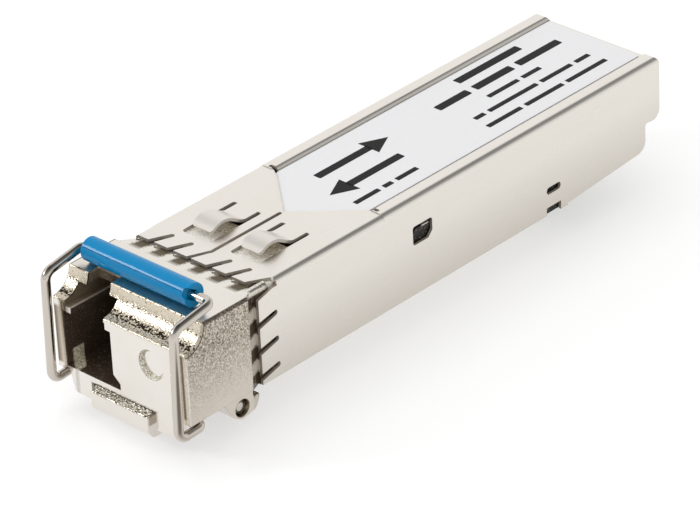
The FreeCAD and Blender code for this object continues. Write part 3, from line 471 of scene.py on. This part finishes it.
# Chips: black epoxy moulded round the dies and soldered to the board.
# The filler leaves a fine matt grain.
GRIT_SIZE = 0.07 * MM
GRIT_DEPTH = 0.01 * MM
epoxy, tree, place, shader = start_material("epoxy_mould_compound")
grit = add_node(tree, "ShaderNodeTexNoise", {"Vector": place, "Scale": 1 / GRIT_SIZE, "Detail": 3.0})
tint = add_node(tree, "ShaderNodeMix", {"Factor": grit.outputs["Fac"], 6: linear("#161617"),
                                        7: linear("#2A2A2C")}, data_type="RGBA")
bump = add_node(tree, "ShaderNodeBump", {"Height": grit.outputs["Fac"], "Strength": 0.4,
                                         "Distance": GRIT_DEPTH})
tree.links.new(tint.outputs[2], shader.inputs["Base Color"])
tree.links.new(bump.outputs[0], shader.inputs["Normal"])
shader.inputs["Roughness"].default_value = 0.55
finish_node(epoxy, "laser_driver_chip", "receiver_amplifier_chip", "controller_chip", "memory_chip")

# Chip capacitors, resistors and ferrite beads: small fired blocks reflowed onto the board.
# Tan ceramic, dark glaze and grey ferrite, each with a slight mottle.
MOTTLE_SIZE = 0.15 * MM
BLOCKS = {"chip_capacitors": ("fired_capacitor_ceramic", "#A98B66", "#8C6F4C", 0.5),
          "chip_resistors": ("resistor_glaze", "#17181B", "#26282C", 0.25),
          "ferrite_beads": ("sintered_ferrite", "#46474A", "#36373A", 0.6)}
for node, (name, light, dark, roughness) in BLOCKS.items():
    fired, tree, place, shader = start_material(name)
    mottle = add_node(tree, "ShaderNodeTexNoise", {"Vector": place, "Scale": 1 / MOTTLE_SIZE, "Detail": 2.0})
    tint = add_node(tree, "ShaderNodeMix", {"Factor": mottle.outputs["Fac"], 6: linear(light),
                                            7: linear(dark)}, data_type="RGBA")
    tree.links.new(tint.outputs[2], shader.inputs["Base Color"])
    shader.inputs["Roughness"].default_value = roughness
    finish_node(fired, node)

# Cover: one sheet of nickel-plated spring steel, blanked, lanced and folded over the base.
# Its sides snap over the housing's ears. The plating is satin, with faint streaks along the rolling
# direction, the sheared walls of its cuts are matt and darker, and the sides darken towards the lower hem.
SHEET_STREAK = (0.12 * MM, 4.0 * MM, 0.12 * MM)
STREAK_DEPTH = 0.01 * MM
SHEET_CLOUD = 6.0 * MM
SATIN = (0.24, 0.34)
TONGUE_ROUGHNESS = 0.4
# Fades along an axis in mm, from the first value to the second, and how strong they get.
# The flanks are painted darker, a painted shade, and the sides get darker towards the hem.
SHEET_FADES = {"hem": ("Z", 5.5, 0.05, 0.35), "flank": ("W", 6.4, 6.68, 1.0),
               "tongues": ("Z", 8.56, 8.75, 1.0)}
# Sheared walls: faces that stand upright on the flat top, and faces turned away from the flanks.
# Each is bounded by two fades and by how far its face is turned from the axis that is named first.
SHEARED_WALLS = {"Z": (("W", 6.3, 6.2), ("Z", 8.1, 8.15)), "X": (("W", 6.3, 6.4), ("Z", 8.05, 8.0))}
TURNED_AWAY = (0.5, 0.3)
sheet, tree, place, shader = start_material("nickel_plated_spring_steel")
stretch = add_node(tree, "ShaderNodeMapping", {"Vector": place, "Scale": tuple(1 / s for s in SHEET_STREAK)})
streaks = add_node(tree, "ShaderNodeTexNoise", {"Vector": stretch.outputs[0], "Scale": 1.0,
                                                "Detail": 3.0}).outputs["Fac"]
clouds = add_node(tree, "ShaderNodeTexNoise", {"Vector": place, "Scale": 1 / SHEET_CLOUD,
                                               "Detail": 2.0}).outputs["Fac"]
axes = dict(add_node(tree, "ShaderNodeSeparateXYZ", {"Vector": place}).outputs.items())
axes["W"] = add_node(tree, "ShaderNodeMath", {0: axes["X"]}, operation="ABSOLUTE").outputs[0]
masks = {}
for name, (axis, edge, inner, most) in SHEET_FADES.items():
    masks[name] = add_node(tree, "ShaderNodeMapRange", {"Value": axes[axis], "From Min": edge * MM,
                                                        "From Max": inner * MM, "To Max": most}).outputs[0]
facing = add_node(tree, "ShaderNodeNewGeometry").outputs["True Normal"]
facing = add_node(tree, "ShaderNodeVectorMath", {0: facing}, operation="ABSOLUTE")
facing = add_node(tree, "ShaderNodeSeparateXYZ", {"Vector": facing.outputs[0]}).outputs
sheared = None
for facing_axis, rows in SHEARED_WALLS.items():
    wall = add_node(tree, "ShaderNodeMapRange", {"Value": facing[facing_axis], "From Min": TURNED_AWAY[0],
                                                 "From Max": TURNED_AWAY[1]}).outputs[0]
    for axis, edge, inner in rows:
        step = add_node(tree, "ShaderNodeMapRange", {"Value": axes[axis], "From Min": edge * MM,
                                                     "From Max": inner * MM}).outputs[0]
        wall = add_node(tree, "ShaderNodeMath", {0: wall, 1: step}, operation="MULTIPLY").outputs[0]
    if sheared is not None:
        wall = add_node(tree, "ShaderNodeMath", {0: sheared, 1: wall}, operation="MAXIMUM").outputs[0]
    sheared = wall
colour = add_node(tree, "ShaderNodeMix", {"Factor": clouds, 6: linear("#EBE7E1"), 7: linear("#E5E0D8")},
                  data_type="RGBA").outputs[2]
# The cut walls are matt and darker, and on the raised tongues they are painted lighter, a painted highlight
# on the tongues' rims.
cut = add_node(tree, "ShaderNodeMix", {"Factor": masks["tongues"], 6: linear("#9C9387"),
                                       7: linear("#D8D2C8")}, data_type="RGBA").outputs[2]
for mask, tone in ((masks["flank"], linear("#E3DED6")), (masks["hem"], linear("#A59C90")), (sheared, cut)):
    colour = add_node(tree, "ShaderNodeMix", {"Factor": mask, 6: colour, 7: tone},
                      data_type="RGBA").outputs[2]
satin = add_node(tree, "ShaderNodeMapRange", {"Value": streaks, "To Min": SATIN[0], "To Max": SATIN[1]})
rough = add_node(tree, "ShaderNodeMix", {"Factor": masks["tongues"], 2: satin.outputs[0],
                                         3: TONGUE_ROUGHNESS})
metal = add_node(tree, "ShaderNodeMapRange", {"Value": sheared, "To Min": 1.0, "To Max": 0.0})
bump = add_node(tree, "ShaderNodeBump", {"Height": streaks, "Strength": 0.02, "Distance": STREAK_DEPTH})
tree.links.new(colour, shader.inputs["Base Color"])
tree.links.new(rough.outputs[0], shader.inputs["Roughness"])
tree.links.new(bump.outputs[0], shader.inputs["Normal"])
tree.links.new(metal.outputs[0], shader.inputs["Metallic"])
finish_node(sheet, "top_cover")

# Label: white polyester film stuck in the cover's recess, with plain bars and a pair of opposite arrows
# printed in black. The film has a soft sheen and a faint grain, the ink is duller.
FILM_GRAIN = 0.2 * MM
FILM_DEPTH = 0.01 * MM
film, tree, place, shader = start_material("polyester_label_film")
grain = add_node(tree, "ShaderNodeTexNoise", {"Vector": place, "Scale": 1 / FILM_GRAIN, "Detail": 3.0})
tint = add_node(tree, "ShaderNodeMix", {"Factor": grain.outputs["Fac"], 6: linear("#EDEDEE"),
                                        7: linear("#E6E6E8")}, data_type="RGBA")
bump = add_node(tree, "ShaderNodeBump", {"Height": grain.outputs["Fac"], "Strength": 0.08,
                                         "Distance": FILM_DEPTH})
tree.links.new(tint.outputs[2], shader.inputs["Base Color"])
tree.links.new(bump.outputs[0], shader.inputs["Normal"])
shader.inputs["Roughness"].default_value = 0.45
finish_node(film, "cover_label")

# Ink: a thin black layer, duller than the film and a little uneven.
INK_PATCH = 0.3 * MM
ink, tree, place, shader = start_material("black_label_ink")
blots = add_node(tree, "ShaderNodeTexNoise", {"Vector": place, "Scale": 1 / INK_PATCH, "Detail": 2.0})
tint = add_node(tree, "ShaderNodeMix", {"Factor": blots.outputs["Fac"], 6: linear("#090909"),
                                        7: linear("#111110")}, data_type="RGBA")
tree.links.new(tint.outputs[2], shader.inputs["Base Color"])
shader.inputs["Roughness"].default_value = 0.5
shader.inputs["Specular IOR Level"].default_value = 0.2

INK_THICK = 0.012 * MM
label_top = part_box("cover_label")[1].z
# Rows of plain bars: x of the row's middle, bar width, then the start and end of each bar along y, in mm.
# Arrows: x, then the tail and the tip along y. A head has a width and a length.
PRINT_ROWS = [(-3.8, 0.85, [(34.2, 41.9)]),
              (-1.95, 0.85, [(29.8, 33.6), (34.3, 38.9), (39.6, 44.8)]),
              (-0.1, 0.5, [(33.9, 37.6), (38.1, 40.3)]),
              (1.55, 0.5, [(30.4, 31.6), (32.1, 38.0), (38.5, 42.3), (42.8, 44.5)]),
              (3.2, 0.5, [(30.1, 34.2), (34.7, 39.3), (39.8, 44.7)]),
              (3.3, 0.5, [(14.4, 17.2), (17.7, 18.7), (19.2, 21.6)])]
ARROWS = [(-1.9, 15.6, 23.9), (0.9, 22.4, 14.1)]
ARROW_SHAFT = 0.8
ARROW_HEAD = (2.3, 2.3)
ARROW_OVERLAP = 0.1
CORNER_SHARE = 0.12


def join_print(name, parts):
    """Joins flat printed shapes into one piece and gives the ink its thickness."""
    bpy.ops.object.select_all(action="DESELECT")
    for part in parts:
        part.select_set(True)
    bpy.context.view_layer.objects.active = parts[0]
    bpy.ops.object.join()
    piece = bpy.context.object
    piece.name = name
    bpy.ops.object.transform_apply(location=True, rotation=True, scale=True)
    bpy.ops.object.mode_set(mode="EDIT")
    bpy.ops.mesh.select_all(action="SELECT")
    bpy.ops.mesh.extrude_region_move(TRANSFORM_OT_translate={"value": (0, 0, INK_THICK)})
    bpy.ops.mesh.select_all(action="SELECT")
    bpy.ops.mesh.normals_make_consistent(inside=False)
    bpy.ops.object.mode_set(mode="OBJECT")
    piece.data.materials.clear()
    piece.data.materials.append(ink)
    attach(piece, "housing")


def add_bar(x, width, start, end):
    """A flat bar along y with rounded corners, lying on the label."""
    bpy.ops.object.select_all(action="DESELECT")
    bpy.ops.mesh.primitive_plane_add(size=1, location=(x * MM, (start + end) / 2 * MM, label_top))
    bar = bpy.context.object
    bar.scale = (width * MM, abs(end - start) * MM, 1)
    bpy.ops.object.transform_apply(location=False, rotation=False, scale=True)
    bpy.ops.object.mode_set(mode="EDIT")
    bpy.ops.mesh.select_all(action="SELECT")
    bpy.ops.mesh.bevel(offset=CORNER_SHARE * width * MM, segments=3, affect="VERTICES")
    bpy.ops.object.mode_set(mode="OBJECT")
    return bar


bars = [add_bar(x, width, start, end) for x, width, spans in PRINT_ROWS for start, end in spans]
join_print("label_bars", bars)
# A triangle on a circle of radius 1 is the root of 3 wide and 1.5 high. Its middle lies a third of that up.
arrow_parts = []
for x, tail, tip in ARROWS:
    way = 1 if tip > tail else -1
    neck = tip - way * ARROW_HEAD[1]
    arrow_parts.append(add_bar(x, ARROW_SHAFT, tail, neck + way * ARROW_OVERLAP))
    bpy.ops.object.select_all(action="DESELECT")
    bpy.ops.mesh.primitive_circle_add(vertices=3, radius=1, fill_type="NGON",
                                      location=(x * MM, (neck + way * ARROW_HEAD[1] / 3) * MM, label_top))
    head = bpy.context.object
    head.scale = (ARROW_HEAD[0] / math.sqrt(3) * MM, way * ARROW_HEAD[1] / 1.5 * MM, 1)
    arrow_parts.append(head)
join_print("label_arrows", arrow_parts)

# Bail wire: one length of polished spring steel wire, bent round the nose and cranked at its ends,
# which turn in the housing's chin. Polishing leaves a near mirror with a faint mottle.
POLISH_MOTTLE = 0.25 * MM
WIRE_ROUGHNESS = (0.07, 0.15)
wire, tree, place, shader = start_material("polished_spring_wire")
mottle = add_node(tree, "ShaderNodeTexNoise", {"Vector": place, "Scale": 1 / POLISH_MOTTLE, "Detail": 3.0})
rough = add_node(tree, "ShaderNodeMapRange", {"Value": mottle.outputs["Fac"], "To Min": WIRE_ROUGHNESS[0],
                                              "To Max": WIRE_ROUGHNESS[1]})
tree.links.new(rough.outputs[0], shader.inputs["Roughness"])
shader.inputs["Base Color"].default_value = linear("#C8C1B8")
shader.inputs["Metallic"].default_value = 1.0
finish_node(wire, "bail_wire")

# Bail sleeve: a blue plastic moulding, clipped over the wire's cross bar through its groove.
# Injection moulding leaves a semi-gloss skin with a slight flow mottle.
FLOW_SIZE = 1.2 * MM
SKIN_ROUGHNESS = (0.1, 0.16)
plastic, tree, place, shader = start_material("blue_moulded_plastic")
flow = add_node(tree, "ShaderNodeTexNoise", {"Vector": place, "Scale": 1 / FLOW_SIZE, "Detail": 3.0})
tint = add_node(tree, "ShaderNodeMix", {"Factor": flow.outputs["Fac"], 6: linear("#0082BB"),
                                        7: linear("#0489C1")}, data_type="RGBA")
rough = add_node(tree, "ShaderNodeMapRange", {"Value": flow.outputs["Fac"], "To Min": SKIN_ROUGHNESS[0],
                                              "To Max": SKIN_ROUGHNESS[1]})
tree.links.new(tint.outputs[2], shader.inputs["Base Color"])
tree.links.new(rough.outputs[0], shader.inputs["Roughness"])
shader.inputs["Specular IOR Level"].default_value = 0.2
finish_node(plastic, "bail_sleeve")

# Studio floor: a sheet of white paper with a slight glow. It isn't part of the object.
# It lies just under the opened bail, whose legs then reach as far below the hinge as they stand before
# it at rest. Seen from below, the paper lets the view through.
FLOOR_SIZE = 4.0
FLOOR_GLOW = 0.45
# In reflections the paper is darker on a round patch in front of the nose and to its right.
DARK_PATCH = (18.0 * MM, -11.0 * MM, 0.0)
DARK_REACH = (11.0 * MM, 5.0 * MM)
hinge = next(joint["pos_m"] for joint in frame["joints"] if joint["name"] == "bail_pivot")
floor_height = hinge[2] - (hinge[1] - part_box("bail_wire")[0].y)
bpy.ops.object.select_all(action="DESELECT")
bpy.ops.mesh.primitive_plane_add(size=FLOOR_SIZE, location=(0, 0, floor_height))
floor = bpy.context.object
floor.name = "studio_floor"
paper = bpy.data.materials.new("white_paper_sweep")
paper.use_nodes = True
tree = paper.node_tree
tree.nodes.remove(tree.nodes["Principled BSDF"])
diffuse = add_node(tree, "ShaderNodeBsdfDiffuse", {"Color": linear("#D0D0D0")})
glow = add_node(tree, "ShaderNodeEmission", {"Strength": FLOOR_GLOW})
lit = add_node(tree, "ShaderNodeAddShader", {0: diffuse.outputs[0], 1: glow.outputs[0]})
rays = add_node(tree, "ShaderNodeLightPath")
seen = add_node(tree, "ShaderNodeMath", {0: rays.outputs["Is Camera Ray"],
                                         1: rays.outputs["Is Transmission Ray"]}, operation="MAXIMUM")
plain = add_node(tree, "ShaderNodeMixShader", {0: seen.outputs[0], 1: diffuse.outputs[0], 2: lit.outputs[0]})
ground = add_node(tree, "ShaderNodeTexCoord").outputs["Object"]
away = add_node(tree, "ShaderNodeVectorMath", {0: ground, 1: DARK_PATCH}, operation="DISTANCE")
shade = add_node(tree, "ShaderNodeMapRange", {"Value": away.outputs["Value"], "From Min": DARK_REACH[0],
                                              "From Max": DARK_REACH[1]})
dusk = add_node(tree, "ShaderNodeBsdfDiffuse", {"Color": linear("#8F887F")})
mirrored = add_node(tree, "ShaderNodeMixShader", {0: shade.outputs[0], 1: lit.outputs[0], 2: dusk.outputs[0]})
mixed = add_node(tree, "ShaderNodeMixShader", {0: rays.outputs["Is Glossy Ray"], 1: plain.outputs[0],
                                               2: mirrored.outputs[0]})
below = add_node(tree, "ShaderNodeNewGeometry").outputs["Backfacing"]
clear = add_node(tree, "ShaderNodeBsdfTransparent")
sweep = add_node(tree, "ShaderNodeMixShader", {0: below, 1: mixed.outputs[0], 2: clear.outputs[0]})
tree.links.new(sweep.outputs[0], tree.nodes["Material Output"].inputs["Surface"])
floor.data.materials.append(paper)

# Studio room: white to the eye and even light for matt surfaces. It isn't part of the object.
# In reflections it has a low backdrop, a dark seam and a softbox at the front left, a bright wall at the
# back left, a wall that darkens upwards on the right, and a dark ceiling.
ROOM_TINT = (1.0, 0.995, 0.985)
BACK_TURN = (-0.1, 0.3)
RIGHT_TURN = (-0.45, -0.1)
MIRRORED_STRENGTH = 1.05
EVEN_STRENGTH = 0.7
# Pairs of the sine of the angle above the floor and the brightness there.
ROOM = {"front_left": ((0.0, 0.85), (0.2, 0.85), (0.25, 0.25), (0.29, 0.25), (0.35, 1.0), (0.72, 1.0),
                       (0.82, 0.75), (0.9, 0.2), (1.0, 0.06)),
        "back_left": ((0.0, 0.95), (0.72, 1.0), (0.82, 0.75), (0.9, 0.2), (1.0, 0.06)),
        "right": ((0.0, 0.9), (0.3, 0.95), (0.5, 0.45), (0.66, 0.26), (0.8, 0.18), (1.0, 0.06))}
world = bpy.data.worlds.new("studio_room")
bpy.context.scene.world = world
world.use_nodes = True
tree = world.node_tree
tree.nodes.clear()
direction = add_node(tree, "ShaderNodeTexCoord").outputs["Generated"]
direction = add_node(tree, "ShaderNodeSeparateXYZ", {"Vector": direction}).outputs
walls = {}
for wall, stops in ROOM.items():
    ramp = add_node(tree, "ShaderNodeValToRGB", {"Fac": direction["Z"]})
    ramp.color_ramp.elements.remove(ramp.color_ramp.elements[1])
    for position, level in stops:
        stop = ramp.color_ramp.elements.new(position)
        stop.color = tuple(level * share for share in ROOM_TINT) + (1,)
    walls[wall] = ramp.outputs["Color"]
turned_back = add_node(tree, "ShaderNodeMapRange", {"Value": direction["Y"], "From Min": BACK_TURN[0],
                                                    "From Max": BACK_TURN[1]})
left = add_node(tree, "ShaderNodeMix", {"Factor": turned_back.outputs[0], 6: walls["front_left"],
                                        7: walls["back_left"]}, data_type="RGBA")
turned_right = add_node(tree, "ShaderNodeMapRange", {"Value": direction["X"], "From Min": RIGHT_TURN[0],
                                                     "From Max": RIGHT_TURN[1]})
sky = add_node(tree, "ShaderNodeMix", {"Factor": turned_right.outputs[0], 6: left.outputs[2],
                                       7: walls["right"]}, data_type="RGBA")
rays = add_node(tree, "ShaderNodeLightPath")
room = add_node(tree, "ShaderNodeBackground", {"Color": sky.outputs[2], "Strength": MIRRORED_STRENGTH})
even = add_node(tree, "ShaderNodeBackground", {"Color": (1, 1, 1, 1), "Strength": EVEN_STRENGTH})
white = add_node(tree, "ShaderNodeBackground", {"Color": (1, 1, 1, 1), "Strength": 1.0})
shiny = add_node(tree, "ShaderNodeMixShader", {0: rays.outputs["Is Glossy Ray"], 1: even.outputs[0],
                                               2: room.outputs[0]})
seen = add_node(tree, "ShaderNodeMath", {0: rays.outputs["Is Camera Ray"],
                                         1: rays.outputs["Is Transmission Ray"]}, operation="MAXIMUM")
backdrop = add_node(tree, "ShaderNodeMixShader", {0: seen.outputs[0], 1: shiny.outputs[0],
                                                  2: white.outputs[0]})
add_node(tree, "ShaderNodeOutputWorld", {"Surface": backdrop.outputs[0]})

# Lamps: three soft square ones at the front left, overhead and on the right, each turned to the part's
# middle. They aren't part of the object, and only the front one shows in reflections.
# Each has a name, its place, its power in watts and its edge length.
LAMPS = [("front_softbox", (-0.28, -0.27, 0.225), 0.42, 0.10),
         ("overhead_softbox", (-0.10, 0.05, 0.42), 0.35, 0.30),
         ("side_softbox", (0.40, -0.10, 0.25), 0.25, 0.20)]
middle = (cad_box[0] + cad_box[1]) / 2
for name, spot, watts, size in LAMPS:
    lamp = bpy.data.lights.new(name, "AREA")
    lamp.energy = watts
    lamp.size = size
    lamp_object = bpy.data.objects.new(name, lamp)
    lamp_object.location = spot
    lamp_object.visible_glossy = name == "front_softbox"
    lamp_object.rotation_euler = (middle - Vector(spot)).to_track_quat("-Z", "Y").to_euler()
    bpy.context.scene.collection.objects.link(lamp_object)

# Camera: a long lens, above and to the right of the nose, turned a little round its own axis.
# Its angles, place and focal length are fitted to the photo. The focal length is in pixels of a picture
# that is IMAGE_WIDTH wide.
AZIMUTH, ELEVATION, ROLL = (math.radians(a) for a in (44.42, 30.27, -2.96))
FOCAL_PIXELS = 4403.4
IMAGE_WIDTH = 700
SENSOR = 36.0
OFFSET = (11.468 * MM, 7.253 * MM)
DISTANCE = 338.7 * MM
back = Vector((math.sin(AZIMUTH) * math.cos(ELEVATION), -math.cos(AZIMUTH) * math.cos(ELEVATION),
               math.sin(ELEVATION)))
level = Vector((math.cos(AZIMUTH), math.sin(AZIMUTH), 0))
upright = back.cross(level)
right = math.cos(ROLL) * level + math.sin(ROLL) * upright
up = math.cos(ROLL) * upright - math.sin(ROLL) * level
lens = bpy.data.cameras.new("camera")
lens.sensor_fit = "HORIZONTAL"
lens.sensor_width = SENSOR
lens.lens = FOCAL_PIXELS / IMAGE_WIDTH * SENSOR
lens.clip_start = 0.01
camera = bpy.data.objects.new("camera", lens)
turn = Matrix((right, up, back)).transposed().to_4x4()
camera.matrix_world = Matrix.Translation(right * OFFSET[0] + up * OFFSET[1] + back * DISTANCE) @ turn
bpy.context.scene.collection.objects.link(camera)
bpy.context.scene.camera = camera
bpy.context.scene.view_settings.view_transform = "Standard"
